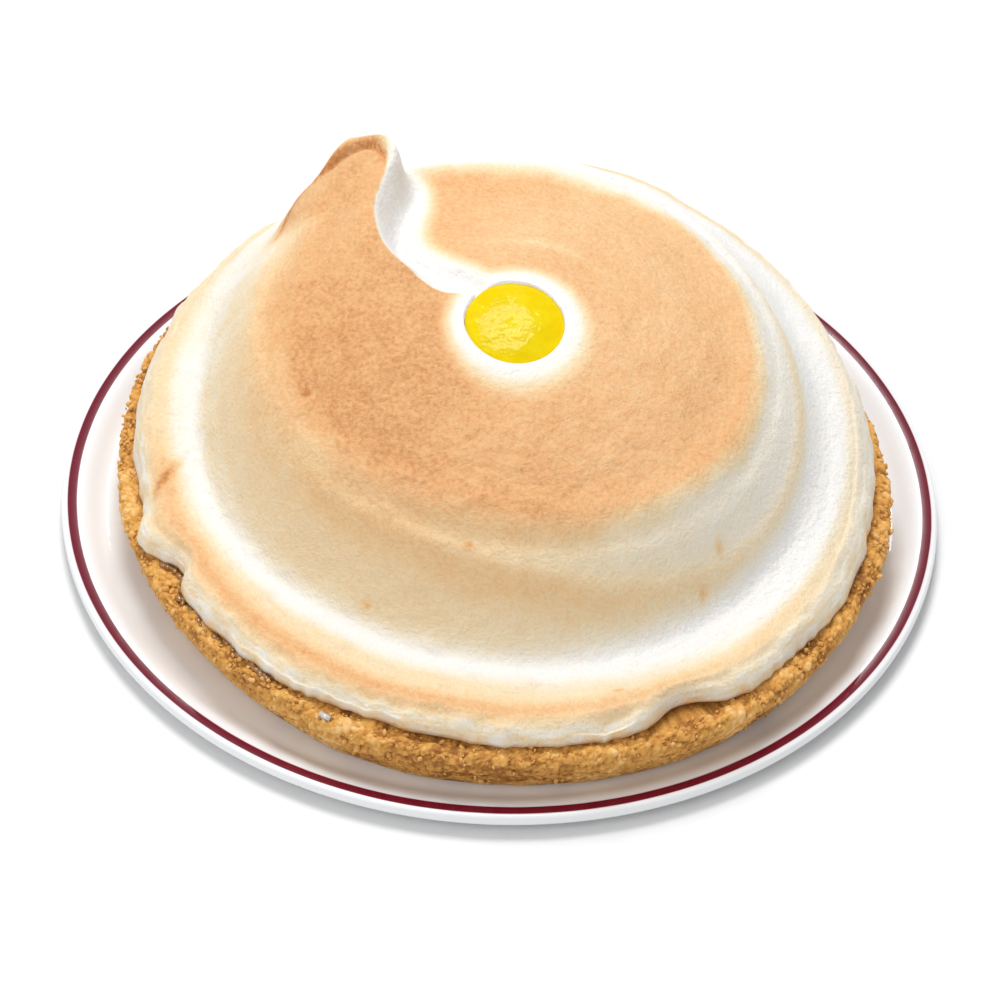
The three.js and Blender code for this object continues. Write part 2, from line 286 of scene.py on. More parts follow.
def lumps(x, y, z, size, seed=0.0):
    """Soft noise from about -1 to 1 with lumps of a size in mm, at arrays of points."""
    place = np.stack([0.8 * x + 0.6 * y, 0.8 * y - 0.6 * x + 0.3 * z, z + 0.2 * x]) / size + seed
    cell = np.floor(place)
    share = place - cell
    share = share * share * (3 - 2 * share)
    total = 0
    for corner in itertools.product((0, 1), repeat=3):
        step = np.array(corner).reshape(3, 1)
        weight = np.prod(np.where(step == 1, share, 1 - share), axis=0)
        total = total + weight * scattered(cell + step, seed)
    return 2.4 * (total - 0.5)


def crumbs_at(x, y, z, size):
    """Crumbs packed side by side: (height, how far into a crevice, how proud this crumb stands), 0 to 1."""
    place = np.stack([x, y, z]) / size
    cell = np.floor(place)
    near = np.full(len(x), 9.0)
    next_near = np.full(len(x), 9.0)
    proud = np.zeros(len(x))
    for corner in itertools.product((-1, 0, 1), repeat=3):
        around = cell + np.array(corner).reshape(3, 1)
        heart = around + np.stack([scattered(around, seed) for seed in (1, 2, 3)])
        gap = np.sqrt(((place - heart) ** 2).sum(axis=0))
        proud = np.where(gap < near, scattered(around, 4), proud)
        next_near = np.minimum(next_near, np.maximum(near, gap))
        near = np.minimum(near, gap)
    return 1 - np.minimum(1, near * 1.1) ** 2, 1 - np.minimum(1, (next_near - near) * 2.6), proud


def oval(angle):
    """How much the pie is pressed out of round: longest towards the oval angle."""
    return 1 + OVALNESS * np.cos(2 * np.radians(angle - OVAL_ANGLE))


def crust_swell(angle):
    way = np.radians(angle)
    return 0.7 * np.sin(3 * way + 0.8) + 0.5 * np.sin(7 * way + 2.1)


def crust_section():
    """Half section of the case: (radius, height, how crumbly), from the seat over the rim to the base."""
    flare = CRUST_RADIUS - CRUST_BASE_RADIUS
    bends = [
        (SEAT_RADIUS, SEAT_TOP, 0), (SEAT_RADIUS, CRUST_TOP - 1.2, 0.2),
        (CRUST_RADIUS - 7, CRUST_TOP - 0.9, 0.8), (CRUST_RADIUS - 3, CRUST_TOP - 0.5, 1),
        (CRUST_RADIUS - 1.2, CRUST_TOP - 1.1, 1), (CRUST_RADIUS - 0.4, CRUST_TOP - 3, 1),
        (CRUST_RADIUS - flare * 0.2, WELL_TOP + CRUST_HEIGHT * 0.6, 1),
        (CRUST_RADIUS - flare * 0.6, WELL_TOP + CRUST_HEIGHT * 0.28, 1),
        (CRUST_BASE_RADIUS + 0.6, WELL_TOP + 0.8, 0.9), (CRUST_BASE_RADIUS - 0.6, WELL_TOP, 0.3),
    ]
    parts = [1, 1, 8, 5, 4, 4, 11, 11, 7, 1]
    section = [(0, SEAT_TOP, 0)]
    for start, end, count in zip(bends, bends[1:] + [(0, WELL_TOP, 0)], parts):
        for step in range(count):
            share = step / count
            section.append(tuple(a + (b - a) * share for a, b in zip(start, end)))
    section.append((0, WELL_TOP, 0))
    return np.array(section)


def crust_points(section_row, angle):
    """Place in mm on the unbroken case for a (possibly fractional) row of the section and an angle."""
    section = crust_section()
    rows = np.arange(len(section))
    radius = np.interp(section_row, rows, section[:, 0])
    height = np.interp(section_row, rows, section[:, 1])
    crumbly = np.interp(section_row, rows, section[:, 2])
    slope_r = np.interp(section_row, rows, np.gradient(section[:, 0]))
    slope_z = np.interp(section_row, rows, np.gradient(section[:, 1]))
    length = np.hypot(slope_r, slope_z) + 1e-9
    reach = radius + crumbly * crust_swell(angle)
    return reach, height, crumbly, -slope_z / length, slope_r / length


def make_crust():
    section = crust_section()
    crust = mesh_piece("crumb_crust", spun_guide(len(section), CRUST_COLUMNS))
    rows, angle = guide_rows(crust.data)
    reach, height, crumbly, out, up = crust_points(rows, angle)
    way = np.radians(angle)
    x = reach * np.cos(way)
    y = reach * np.sin(way)
    tops, crevices, proud = crumbs_at(x, y, height, CRUMB_SIZE)
    flakes, cracks, flake_proud = crumbs_at(x + 3, y, height * 1.4, FLAKE_SIZE)
    bite = lumps(x, y, height, 13.0)
    relief = 0.45 * (tops - 0.55) + 0.9 * (proud - 0.5) - 0.5 * crevices * cracks
    relief = relief + 0.4 * (flakes - 0.5) + 0.7 * (flake_proud - 0.5) + 0.8 * bite
    relief = relief * crumbly
    reach = reach + relief * out
    ragged = crumbly * np.clip(height - CRUST_TOP + 4, 0, 4) / 4 * 1.0 * lumps(x, y, height * 0, 3.6, 7.3)
    height = np.maximum(height + relief * np.abs(up) * 0.8 + ragged, WELL_TOP)
    height[crumbly == 0] = np.interp(rows[crumbly == 0], np.arange(len(section)), section[:, 1])
    reach = reach * oval(angle)
    put_points(crust.data, PIE_CENTRE[0] + reach * np.cos(way), PIE_CENTRE[1] + reach * np.sin(way), height)
    # Painted shade: the crevice value darkens the case in crevices and low spots and lightens proud crumbs.
    paint_value(crust.data, "crevice", 0.4 - 0.36 * relief + 0.2 * crevices)
    return crust


def crumb_finish():
    """Golden biscuit, dull and grainy, with painted light and shade: crumb tops lighter, crevices darker."""
    finish, tree, shader, place = start_finish(
        "baked_crumb", Roughness=0.72, IOR=1.45, Subsurface_Weight=0.12,
        Subsurface_Radius=(0.002, 0.001, 0.0004))
    # The crevice value is painted shade in crevices and painted light on crumb tops.
    crevice_shade = add_node(tree, "Attribute", {"attribute_name": "crevice"}).outputs["Fac"]
    fine = grain(tree, place, 0.0011, 4.0, 0.65)
    broad = grain(tree, place, 0.014, 2.0)
    shade = maths(tree, "ADD", crevice_shade, maths(tree, "MULTIPLY", maths(tree, "SUBTRACT", fine, 0.5), 0.55))
    shade = maths(tree, "ADD", shade, maths(tree, "MULTIPLY", maths(tree, "SUBTRACT", broad, 0.5), 0.5), True)
    tone = tone_ramp(tree, shade, [
        (0.05, (0.85, 0.54, 0.22)), (0.34, (0.74, 0.385, 0.088)),
        (0.6, (0.62, 0.29, 0.055)), (0.9, (0.36, 0.14, 0.024)),
    ])
    tree.links.new(tone, shader.inputs["Base Color"])
    coarse = raised(tree, grain(tree, place, 0.0018, 3.0), 0.7 * MM)
    tree.links.new(raised(tree, fine, 0.35 * MM, coarse), shader.inputs["Normal"])
    return finish


crumb = crumb_finish()
crust = make_crust()
crust.data.materials.append(crumb)
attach(crust, "root")
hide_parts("crust")

# ---------------------------------------------------------------------------------------------
# Meringue. Whipped egg white swept by one turn of a spatula from the curd outwards, so that a
# crest winds back to a curled peak, then baked: browned where it stands out, white in the sweep.
# ---------------------------------------------------------------------------------------------
SWIRL_CENTRE = (2.2, -0.8)
MERINGUE_RADIUS = 117.0
MERINGUE_TOP = 85.3
TOP_SLOPE = 0.17
MERINGUE_COLUMNS = 384
MERINGUE_ROWS = 244
COLUMN_CROWDING = 0.45
EDGE_CROWDING = 1.15
PEAK_ANGLE = 135
BAND_REACH = 0.94
EDGE_HEIGHT = 1.2
CLEARANCE = 0.3
FLANK_LENGTH = 27
CLIFF_WIDTH = 3.6
GROOVE_DEPTH = 3.5
FADE_LIFT = 6
LIP_HEIGHT = 3.7
LIP_WIDTH = 3.2
CURD_RADIUS = 15.0
CURD_DEPTH = 5.0
SIDE_SPREADS = ((-175, 70), (-5, 62), (-100, 60), (85, 45))
BROWN_STREAK = ((-166, 0.98), (-172.5, 0.88))
FLECKS = ((-119.5, 0.71), (-161.5, 0.57), (-39.5, 0.72), (-46, 0.75), (-98.5, 0.58), (-69.5, 0.89))


def turn(angle, start):
    """Shortest turn between two angles in degrees."""
    return (angle - start + 180) % 360 - 180


def hump(distance, width):
    """A smooth bump: 1 where the distance is 0, nearly gone at twice the width."""
    return np.exp(-(distance / width) ** 2)


def eased(value, start, end):
    """0 up to the start, 1 from the end on, and a soft step between them."""
    share = np.clip((value - start) / (end - start), 0, 1)
    return share * share * (3 - 2 * share)


def leaning(mean, amount, towards, angle):
    """A size that is largest towards one angle and smallest on the other side."""
    return mean + amount * np.cos(np.radians(angle - towards))


def smooth_line(corners, count):
    """A line of count + 1 points that runs smoothly through the corners."""
    corners = np.array(corners, float)
    ends = np.vstack([2 * corners[0] - corners[1], corners, 2 * corners[-1] - corners[-2]])
    line = []
    for step in range(count + 1):
        place = step / count * (len(corners) - 1)
        first = min(int(place), len(corners) - 2)
        t = place - first
        a, b, c, d = ends[first:first + 4]
        line.append(0.5 * (2 * b + (c - a) * t + (2 * a - 5 * b + 4 * c - d) * t * t
                           + (3 * b - a - 3 * c + d) * t ** 3))
    return np.array(line)


CREST = smooth_line([
    (-15, 9.5, 87.5), (-21, 10.6, 88.2), (-28, 14.2, 89.7), (-34.4, 18.7, 91.6), (-39.6, 24.3, 93.2),
    (-42.4, 32.8, 94.7), (-42.9, 40, 95.6), (-41.7, 47.7, 96.2), (-40, 55, 96.8), (-40.4, 61.2, 97.2),
    (-43.7, 64.7, 96.2), (-48.4, 65.2, 94.7), (-53, 64, 91.9), (-57.8, 62, 87.7), (-62.4, 60.2, 83.7),
    (-66.6, 58, 79.2), (-70, 54.5, 74.7), (-72.8, 49.5, 70.7), (-76, 43.5, 66.7), (-81, 32, 61.2),
    (-86, 16, 54.2), (-90, -2, 47.2),
], 90)


def edge_wander(angle):
    """How far the foot of the meringue strays: waves, a hooked tongue, a hollow and a pulled-back bite."""
    way = np.radians(angle)
    waves = 0.7 * np.sin(5 * way + 1.2) + 0.5 * np.sin(11 * way)
    tongue = 3.8 * hump(turn(angle, -161), 3.6)
    hollow = -5.5 * hump(turn(angle, -153), 3.2)
    bite = -7.5 * hump(turn(angle, -60), 4.6) ** 0.6
    torn = 0.7 * np.abs(np.sin(17 * way + 2 * np.sin(5 * way)))
    torn = torn + 0.8 * np.abs(np.sin(41 * way + 3 * np.sin(9 * way)))
    return waves + tongue + hollow + bite - torn * (1 - 0.85 * hump(turn(angle, 85), 80))


def swirl_plan(reach, angle):
    """Plan place at a share of the way from the middle of the swirl to the foot."""
    way = np.radians(angle)
    radius = (MERINGUE_RADIUS + edge_wander(angle) * reach ** 14) * oval(angle)
    foot_x = PIE_CENTRE[0] + radius * np.cos(way)
    foot_y = PIE_CENTRE[1] + radius * np.sin(way)
    x = SWIRL_CENTRE[0] + (foot_x - SWIRL_CENTRE[0]) * reach
    y = SWIRL_CENTRE[1] + (foot_y - SWIRL_CENTRE[1]) * reach
    return x, y


def cap_reach(angle):
    return 0.7 - 0.16 * hump(turn(angle, -100), 62)


def trough_reach(angle):
    return 0.87 - 0.12 * hump(turn(angle, -97), 70)


def through_knots(knots, reach):
    """Height of a smooth line through (reach, height) knots that never overshoots them."""
    slopes = [0 * reach]
    for (r0, h0), (r1, h1), (r2, h2) in zip(knots, knots[1:], knots[2:]):
        before = (h1 - h0) / (r1 - r0)
        after = (h2 - h1) / (r2 - r1)
        total = before + after
        safe = np.where(np.abs(total) < 1e-9, 1, total)
        slopes.append(np.where(before * after > 0, 2 * before * after / safe, 0))
    slopes.append(0 * reach)
    height = np.zeros_like(reach)
    for index in range(len(knots) - 1):
        (r0, h0), (r1, h1) = knots[index], knots[index + 1]
        t = np.clip((reach - r0) / (r1 - r0), 0, 1)
        blend = t * t * (3 - 2 * t)
        run = r1 - r0
        bend = slopes[index] * run * t * (1 - t) ** 2 - slopes[index + 1] * run * t * t * (1 - t)
        piece = h0 + (h1 - h0) * blend + bend
        if index == len(knots) - 2:
            piece = h1 + (h0 - h1) * np.sqrt(1 - t * t)
        height = np.where(reach >= r0, piece, height)
    return height


def ridge_gap(angle):
    return 0.045 + 0.07 * hump(turn(angle, -30), 55)


def dome_height(reach, angle):
    """Dome with the edge of its browned cap, the finer second ridge, the sweep and the outer band."""
    ones = np.ones_like(reach)
    lean = TOP_SLOPE * MERINGUE_RADIUS * np.sin(np.radians(angle))
    trough = leaning(44.2, 17, 93, angle) - 9 * hump(turn(angle, -170), 35)
    back = 24 * hump(turn(angle, 80), 62) + 7 * hump(turn(angle, 22), 25)
    band = 31.2 + back + 8 * hump(turn(angle, 165), 28)
    knots = [
        (-0.13 * ones, MERINGUE_TOP - 1 - 0.13 * lean), (0.13 * ones, MERINGUE_TOP + 0.13 * lean),
        (cap_reach(angle), leaning(69.7, 8, 95, angle)), (trough_reach(angle), trough),
        (BAND_REACH * ones, band), (ones, (CRUST_TOP + EDGE_HEIGHT + CLEARANCE) * ones),
    ]
    past = reach - cap_reach(angle)
    shown = 1 - hump(turn(angle, 175), 62)
    shoulder = 2.2 * hump(past + 0.03, 0.045)
    groove = -1.6 * hump(past - 0.022, 0.02)
    second = 2 * hump(past - ridge_gap(angle), 0.022)
    return through_knots(knots, reach) + shown * (shoulder + groove + second)


def crest_lifts():
    """How far each point of the crest stands above the dome."""
    x, y, z = CREST.T
    angle = np.degrees(np.arctan2(y - PIE_CENTRE[1], x - PIE_CENTRE[0]))
    foot_x, foot_y = swirl_plan(np.ones_like(x), angle)
    length = np.hypot(x - SWIRL_CENTRE[0], y - SWIRL_CENTRE[1])
    reach = length / np.hypot(foot_x - SWIRL_CENTRE[0], foot_y - SWIRL_CENTRE[1])
    share = np.arange(len(CREST)) / len(CREST)
    return np.maximum(0, z - dome_height(reach, angle)) * (1 - eased(share, 0.72, 0.95))


def crest_reading(x, y):
    """Distance from the crest (positive on the flank), lift there, and how far along the crest it is."""
    lifts = crest_lifts()
    nearest = np.full(len(x), 1e12)
    side = np.ones(len(x))
    along = np.zeros(len(x))
    closeness = np.zeros(len(x))
    weights = np.zeros(len(x))
    lifted = np.zeros(len(x))
    for index in range(len(CREST) - 1):
        a = CREST[index]
        dx, dy = CREST[index + 1][:2] - a[:2]
        share = np.clip(((x - a[0]) * dx + (y - a[1]) * dy) / (dx * dx + dy * dy), 0, 1)
        off_x = x - a[0] - share * dx
        off_y = y - a[1] - share * dy
        squared = off_x ** 2 + off_y ** 2
        weight = 1 / (squared + 4) ** 1.5
        weights += weight
        lifted += weight * lifts[index]
        closeness += math.hypot(dx, dy) / (squared + 0.01) ** 3
        closer = squared < nearest
        nearest = np.where(closer, squared, nearest)
        side = np.where(closer, np.where(dx * off_y - dy * off_x > 0, 1, -1), side)
        along = np.where(closer, (index + share) / (len(CREST) - 1), along)
    sharp = np.sqrt(nearest)
    length = sharp + ((closeness / 1.178) ** -0.2 - sharp) * eased(sharp, 1, 4)
    lift = lifted / weights
    return side * length, eased(lift, 0, FADE_LIFT) * lift, along


def peak_share(along):
    """1 where the crest is curled over at the peak."""
    return eased(along, 0.36, 0.44) * (1 - eased(along, 0.55, 0.68))


def crest_shape(distance, lift, along):
    """Flank on one side; on the other the curled lip of the peak, the cliff and the white groove."""
    curl = peak_share(along)
    inside = lift * np.exp(-(np.abs(distance) / FLANK_LENGTH) ** 1.5)
    crease = -1.5 * hump(distance - 0.7, 1.0) * curl
    out = np.maximum(-distance, 0)
    beyond = np.maximum(out - LIP_WIDTH * curl, 0)
    fall = lift * hump(beyond, CLIFF_WIDTH + 0.12 * lift)
    lip = LIP_HEIGHT * curl * np.sin(np.pi * np.clip(out / (2 * LIP_WIDTH), 0, 1)) ** 0.8
    groove = -GROOVE_DEPTH * hump(out - 7, 4.5) * (1 - eased(along, 0.42, 0.56))
    return np.where(distance >= 0, inside + crease, fall + groove + lip)


def sweep_marks(x, y, reach, angle):
    """Small unevenness of whipped egg white: soft swells, faint spatula lines, granules and pimples."""
    flat = 0 * x
    swells = 0.6 * lumps(x, y, flat, 19.0) + 0.3 * lumps(x, y, flat, 8.0, 3.1)
    lines = lumps(reach * 50, angle / 34, flat, 1.0, 5.0)
    lined = (0.05 + 0.05 * hump(turn(angle, 178), 55) + 0.06 * hump(turn(angle, -90), 40)) * lines
    pimples = np.clip(lumps(x, y, flat, 3.4, 1.7) - 0.3, 0, 1) * 1.4
    front = hump(turn(angle, -125), 75) * eased(reach, 0.25, 0.5)
    granules = (0.14 + 0.15 * front) * lumps(x, y, flat, 2.6, 8.0) + 0.1 * lumps(x, y, flat, 1.7, 6.0)
    calm = eased(reach, 0.13, 0.24)
    foot = eased(reach, 0.945, 0.97) * (1 - eased(reach, 0.99, 1))
    melted = foot * (1.4 * lumps(x, y, flat, 6.0, 11.0) + 0.8 * lumps(x, y, flat, 3.0, 12.0) - 0.8)
    return calm * (swells + lined + (0.22 + 0.8 * front) * pimples + granules + melted)


def stroke(reach, angle, start, end, width):
    """A soft mark, width mm wide, between two places on the swirl given as (angle, reach)."""
    across = np.radians(turn(angle, start[0])) * reach * MERINGUE_RADIUS
    outwards = (reach - start[1]) * MERINGUE_RADIUS
    end_across = math.radians(end[0] - start[0]) * end[1] * MERINGUE_RADIUS
    end_outwards = (end[1] - start[1]) * MERINGUE_RADIUS
    length = end_across ** 2 + end_outwards ** 2 + 1e-6
    share = np.clip((across * end_across + outwards * end_outwards) / length, 0, 1)
    return hump(np.hypot(across - share * end_across, outwards - share * end_outwards), width)


def sides(angle):
    """How far each point faces left, right, front and back, each from 0 to 1."""
    return [hump(turn(angle, middle), width) for middle, width in SIDE_SPREADS]


def cap_share(x, y, reach, angle, distance, along):
    """1 on the browned cap and on the flank of the crest, falling to 0 over the cap's soft edge."""
    flat = 0 * x
    left, _, front, back = sides(angle)
    wander = 0.012 * lumps(x, y, flat, 16.0, 2.5) + 0.006 * lumps(x, y, flat, 4.0, 9.5)
    past = reach - cap_reach(angle) + wander + 0.05 * back
    cap = 1 - eased(past, -0.04 - 0.07 * left, 0.012 + 0.03 * front + 0.1 * left)
    lip_edge = -LIP_WIDTH * peak_share(along)
    flank = eased(distance, lip_edge - 1.2, lip_edge) * (1 - eased(distance, 16, 30))
    return np.maximum(cap, flank * eased(along, 0.2, 0.35) * (1 - eased(along, 0.76, 0.88)))


def broad_toast_and_shading(x, y, reach, angle, cap):
    """Brown cap, cream slope, white sweep, tan second ridge and browned outer band; the cream is deeper on
    the front and left, partly browning and partly painted shade, and a painted highlight lightens the
    shoulder inside the cap's right edge.
    """
    left, right, front, back = sides(angle)
    past = reach - cap_reach(angle)
    past_trough = reach - trough_reach(angle)
    past_ridge = past - ridge_gap(angle)
    brown = 0.77 + 0.07 * np.cos(np.radians(angle - 215)) + 0.05 * lumps(x, y, 0 * x, 30.0, 4.0)
    # Painted shade, partly: the cream tone deepens on the front and left sides, partly real browning and
    # partly shade on the sides away from the light.
    cream = 0.17 + 0.165 * front + 0.16 * left - 0.02 * right
    toast_and_shading = cream + (brown - cream) * cap
    whiteness = (0.37 + 0.04 * left) * (1 - 0.75 * hump(turn(angle, 150), 34))
    toast_and_shading = toast_and_shading - whiteness * hump(past_trough - 0.012, 0.042 + 0.02 * right) * (1 - cap)
    toast_and_shading = toast_and_shading + 0.24 * hump(past_ridge, 0.022) * right * (1 - left)
    toast_and_shading = toast_and_shading + 0.18 * hump(past_ridge - 0.015, 0.03) * front
    band = 0.28 + 0.3 * hump(turn(angle, -105), 55) + 0.14 * hump(turn(angle, -165), 40) + 0.2 * back
    toast_and_shading = toast_and_shading + (band - 0.5 * cream) * hump(reach - BAND_REACH + 0.012, 0.034)
    toast_and_shading = toast_and_shading - 0.5 * hump(past - 0.05, 0.055) * back
    # Painted highlight: a pale line along the raised shoulder just inside the cap's right edge.
    return toast_and_shading - 0.2 * hump(past + 0.03, 0.012) * hump(turn(angle, 2), 22)


def fine_toast(reach, angle, cap, from_curd):
    """Marks on the broad browning: a pale arc behind the curd, streaks, drips and flecks."""
    flat = 0 * reach
    left = sides(angle)[0]
    marks = -0.14 * hump(from_curd - 35, 2.0) * hump(turn(angle, 75), 28)
    streaks = lumps(reach * 45, angle / 26, flat, 1.0, 2.0)
    streaks = streaks + 0.6 * lumps(reach * 100, angle / 18, flat, 1.0, 7.0)
    marks = marks + (0.015 + 0.02 * left * (1 - cap)) * streaks * eased(from_curd, 20, 50)
    drips = lumps(angle / 3.6, reach * 3, flat, 1.0, 3.0)
    marks = marks + 0.11 * drips * hump(turn(angle, 158), 26) * hump(reach - 0.8, 0.1)
    marks = marks + 0.3 * stroke(reach, angle, *BROWN_STREAK, 1.6)
    for fleck in FLECKS:
        marks = marks + 0.4 * stroke(reach, angle, fleck, fleck, 1.1)
    return marks


def crest_toast_and_shading(toast_and_shading, distance, along):
    """White under the crest, where it stayed unbrowned; inside the curl and down the fold darker and finely
    ribbed, browning deepened with painted shade; the top of the lip lighter as a painted highlight.
    """
    out = -distance
    white = eased(out, -0.2, 0.8) * (1 - eased(out, 11, 19)) * (1 - eased(along, 0.42, 0.5))
    behind = eased(out, 4, 7) * (1 - eased(out, 16, 30)) * eased(along, 0.5, 0.6)
    toast_and_shading = toast_and_shading * (1 - white) * (1 - 0.3 * behind)
    curl = peak_share(along)
    fold = eased(along, 0.55, 0.64) * (1 - eased(along, 0.8, 0.84))
    ribs = 0.05 * np.sin(along * 520)
    # Painted shade over browning: the inner face of the curl darkens, finely ribbed.
    toast_and_shading = toast_and_shading + curl * (0.26 + ribs) * hump(out - 0.9, 1.6)
    # Painted highlight: the top of the lip is lightened.
    toast_and_shading = toast_and_shading - curl * 0.25 * hump(out - LIP_WIDTH - 0.6, 1.0)
    # Painted shade over browning: the fold groove down the crest darkens, finely ribbed.
    return toast_and_shading + (0.36 + ribs) * fold * hump(out - 1.2, 1.9)


def toasting_and_shading(x, y, reach, angle, distance, along):
    """How brown each point is, from 0, white, to 1, darkest brown: the oven's browning, with painted shade
    and painted highlights mixed in on the crest and the sides of the cap.
    """
    from_curd = np.hypot(x - SWIRL_CENTRE[0], y - SWIRL_CENTRE[1])
    cap = cap_share(x, y, reach, angle, distance, along)
    toast_and_shading = broad_toast_and_shading(x, y, reach, angle, cap) + fine_toast(reach, angle, cap, from_curd)
    toast_and_shading = crest_toast_and_shading(toast_and_shading, distance, along)
    pale_end = CURD_RADIUS + 9 + 8 * hump(turn(angle, -70), 65)
    toast_and_shading = toast_and_shading * eased(from_curd, CURD_RADIUS + 2, pale_end)
    down = reach * 900
    stained = 0.24 + 0.16 * lumps(x, y, down, 5.0, 13.0) + 0.14 * lumps(x, y, down, 3.0, 14.0)
    stained = stained + 0.3 * eased(reach, 0.988, 1) * np.clip(lumps(x, y, down, 3.2, 15.0), 0, 1)
    return toast_and_shading + (stained - toast_and_shading) * 0.85 * eased(reach, 0.962, 0.985)


def make_meringue():
    top_rows = MERINGUE_ROWS + 2
    rows_total = top_rows + 4
    meringue = mesh_piece("swirled_meringue", spun_guide(rows_total, MERINGUE_COLUMNS))
    rows, even = guide_rows(meringue.data)
    angle = even - math.degrees(COLUMN_CROWDING) * np.sin(np.radians(even - PEAK_ANGLE))
    way = np.radians(angle)
    start = (CURD_RADIUS + CLEARANCE + 0.4) / MERINGUE_RADIUS
    share = 1 - (1 - np.clip((rows - 2) / (MERINGUE_ROWS - 1), 0, 1)) ** EDGE_CROWDING
    reach = start + (1 - start) * share
    x, y = swirl_plan(reach, angle)
    distance, lift, along = crest_reading(x, y)
    z = dome_height(reach, angle) + crest_shape(distance, lift, along) + sweep_marks(x, y, reach, angle)
    toast_and_shading = toasting_and_shading(x, y, reach, angle, distance, along)
    floor = MERINGUE_TOP - CURD_DEPTH
    foot = CRUST_TOP + CLEARANCE
    well = rows < 2
    radius = (CURD_RADIUS + CLEARANCE) * rows
    x = np.where(well, SWIRL_CENTRE[0] + radius * np.cos(way), x)
    y = np.where(well, SWIRL_CENTRE[1] + radius * np.sin(way), y)
    z = np.where(well, floor, z)
    under = rows > top_rows
    radius = np.where(rows == rows_total - 1, 0, SEAT_RADIUS - CLEARANCE) * oval(angle)
    x = np.where(under, PIE_CENTRE[0] + radius * np.cos(way), x)
    y = np.where(under, PIE_CENTRE[1] + radius * np.sin(way), y)
    z = np.where(rows >= top_rows, np.where(rows > top_rows + 1, SEAT_TOP, foot), z)
    put_points(meringue.data, x, y, z)
    paint_value(meringue.data, "toast_and_shading", np.where(well | under, 0, toast_and_shading))
    return meringue


def meringue_finish():
    """Baked egg white: satin, slightly translucent, finely blistered where it browned."""
    finish, tree, shader, place = start_finish(
        "baked_meringue", Roughness=0.5, IOR=1.4, Specular_IOR_Level=0.4, Subsurface_Weight=0.25,
        Subsurface_Radius=(0.004, 0.0025, 0.0015))
    toast_and_shading = add_node(tree, "Attribute", {"attribute_name": "toast_and_shading"}).outputs["Fac"]
    fine = grain(tree, place, 0.0014, 4.0, 0.65)
    specks = maths(tree, "MULTIPLY", maths(tree, "SUBTRACT", fine, 0.5), 0.42)
    patches = maths(tree, "MULTIPLY", maths(tree, "SUBTRACT", grain(tree, place, 0.009), 0.5), 0.16)
    browned = fade(tree, toast_and_shading, 0.05, 0.6)
    change = maths(tree, "MULTIPLY", maths(tree, "ADD", specks, patches), maths(tree, "ADD", browned, 0.15))
    shade = maths(tree, "ADD", toast_and_shading, change, True)
    tone = tone_ramp(tree, shade, [
        (0.0, (0.84, 0.825, 0.8)), (0.16, (0.84, 0.79, 0.69)), (0.34, (0.82, 0.68, 0.46)),
        (0.56, (0.81, 0.56, 0.3)), (0.8, (0.74, 0.4, 0.175)), (1.0, (0.52, 0.21, 0.06)),
    ])
    tree.links.new(tone, shader.inputs["Base Color"])
    blister = raised(tree, fine, 0.65 * MM)
    skin = raised(tree, grain(tree, place, 0.0035, 4.0), 0.5 * MM, blister)
    tree.links.new(skin, shader.inputs["Normal"])
    return finish


meringue = make_meringue()
meringue.data.materials.append(meringue_finish())
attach(meringue, "root")
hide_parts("meringue")

# ---------------------------------------------------------------------------------------------
# Lemon curd. A spoonful of set curd in the round well at the start of the swirl: a glossy, clear
# yellow lens, highest in the middle, whose edge meets the meringue.
# ---------------------------------------------------------------------------------------------
CURD_CROWN = 2.2
CLEAR_CURD = (0.73, 0.53, 0.0, 1)
CLOUDY_CURD = (0.75, 0.575, 0.003, 1)


def make_curd():
    rows_total = 34
    curd = mesh_piece("curd_spot", spun_guide(rows_total, 96))
    rows, angle = guide_rows(curd.data)
    way = np.radians(angle)
    share = np.minimum(rows / (rows_total - 4), 1)
    floor = MERINGUE_TOP - CURD_DEPTH
    wobble = 1 + 0.012 * np.sin(3 * way + 1) + 0.008 * np.sin(7 * way)
    radius = np.where(rows == rows_total - 1, 0, (CURD_RADIUS + 0.5) * share * wobble)
    x = SWIRL_CENTRE[0] + radius * np.cos(way)
    y = SWIRL_CENTRE[1] + radius * np.sin(way)
    lean = TOP_SLOPE * radius * np.sin(way)
    crown = floor + CURD_DEPTH - 1.0 + lean + CURD_CROWN * (1 - share ** 2.6)
    ripples = 0.28 * lumps(x, y, 0 * x, 6.0) * (1 - share ** 4)
    z = np.where(rows > rows_total - 4, floor, crown + ripples)
    put_points(curd.data, x, y, z)
    return curd


def curd_finish():
    """Set curd: strong clear yellow with faint clouds, under a thin wet coat that sparkles."""
    finish, tree, shader, place = start_finish(
        "lemon_curd_gloss", Roughness=0.06, IOR=1.42, Specular_IOR_Level=0.04, Coat_Weight=0.16,
        Coat_Roughness=0.02, Subsurface_Weight=0.3, Subsurface_Radius=(0.004, 0.003, 0.0005))
    cloudy = fade(tree, grain(tree, place, 0.007, 2.0), 0.42, 0.66)
    tone = mixed(tree, cloudy, CLEAR_CURD, CLOUDY_CURD)
    tree.links.new(tone, shader.inputs["Base Color"])
    ripple = raised(tree, grain(tree, place, 0.0035, 2.0), 0.55 * MM)
    tree.links.new(ripple, shader.inputs["Normal"])
    tree.links.new(ripple, shader.inputs["Coat Normal"])
    return finish


curd = make_curd()
curd.data.materials.append(curd_finish())
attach(curd, "root")
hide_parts("lemon_curd")

# ---------------------------------------------------------------------------------------------
# Loose crumbs. Bits of biscuit that came away from the case while it was pressed and filled, and
# stuck along its rim and on the foot of the meringue.
# ---------------------------------------------------------------------------------------------
LOOSE_CRUMBS = 1300
CRUMBS_AT_ONCE = 50
RIM_ROWS = 22
RIM_SHARE = 0.6


